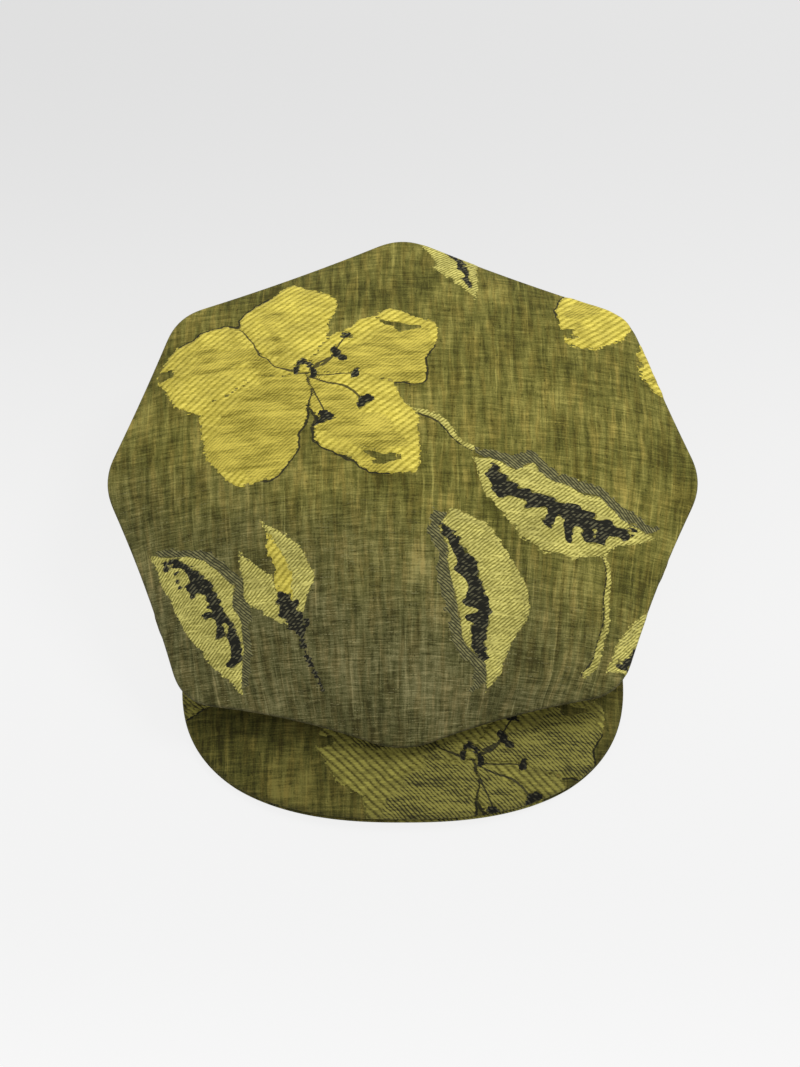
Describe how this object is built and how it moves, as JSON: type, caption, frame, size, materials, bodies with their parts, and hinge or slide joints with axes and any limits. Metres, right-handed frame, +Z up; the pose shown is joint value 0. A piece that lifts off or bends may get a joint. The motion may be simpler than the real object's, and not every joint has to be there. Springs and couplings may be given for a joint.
{
  "type": "peaked cap",
  "caption": "Soft cap with a flat angular crown that overhangs a plain head band and droops over a curved cloth-covered peak, in olive flower jacquard.",
  "frame": {"origin": "centre of the bounding box on the surface that the cap lies on", "axes": "+Z up, the peak towards -Y, +X to the right of someone who faces the front of the cap"},
  "size_m": [0.28, 0.2847, 0.0887],
  "materials": {
    "crown_cloth": "flower jacquard in yellow, olive and charcoal linen",
    "band_cloth": "the same jacquard, mostly its olive plain weave",
    "peak_cloth": "the same jacquard over a stiffener"
  },
  "bodies": {
    "root": {"crown_top": "crown_cloth", "side_panel_front_right": "crown_cloth", "side_panel_right_front": "crown_cloth", "side_panel_right_back": "crown_cloth", "side_panel_back_right": "crown_cloth", "side_panel_back_left": "crown_cloth", "side_panel_left_back": "crown_cloth", "side_panel_left_front": "crown_cloth", "side_panel_front_left": "crown_cloth", "band": "band_cloth", "peak_lower_cover": "peak_cloth", "peak_upper_cover": "peak_cloth"}
  },
  "joints": []
}
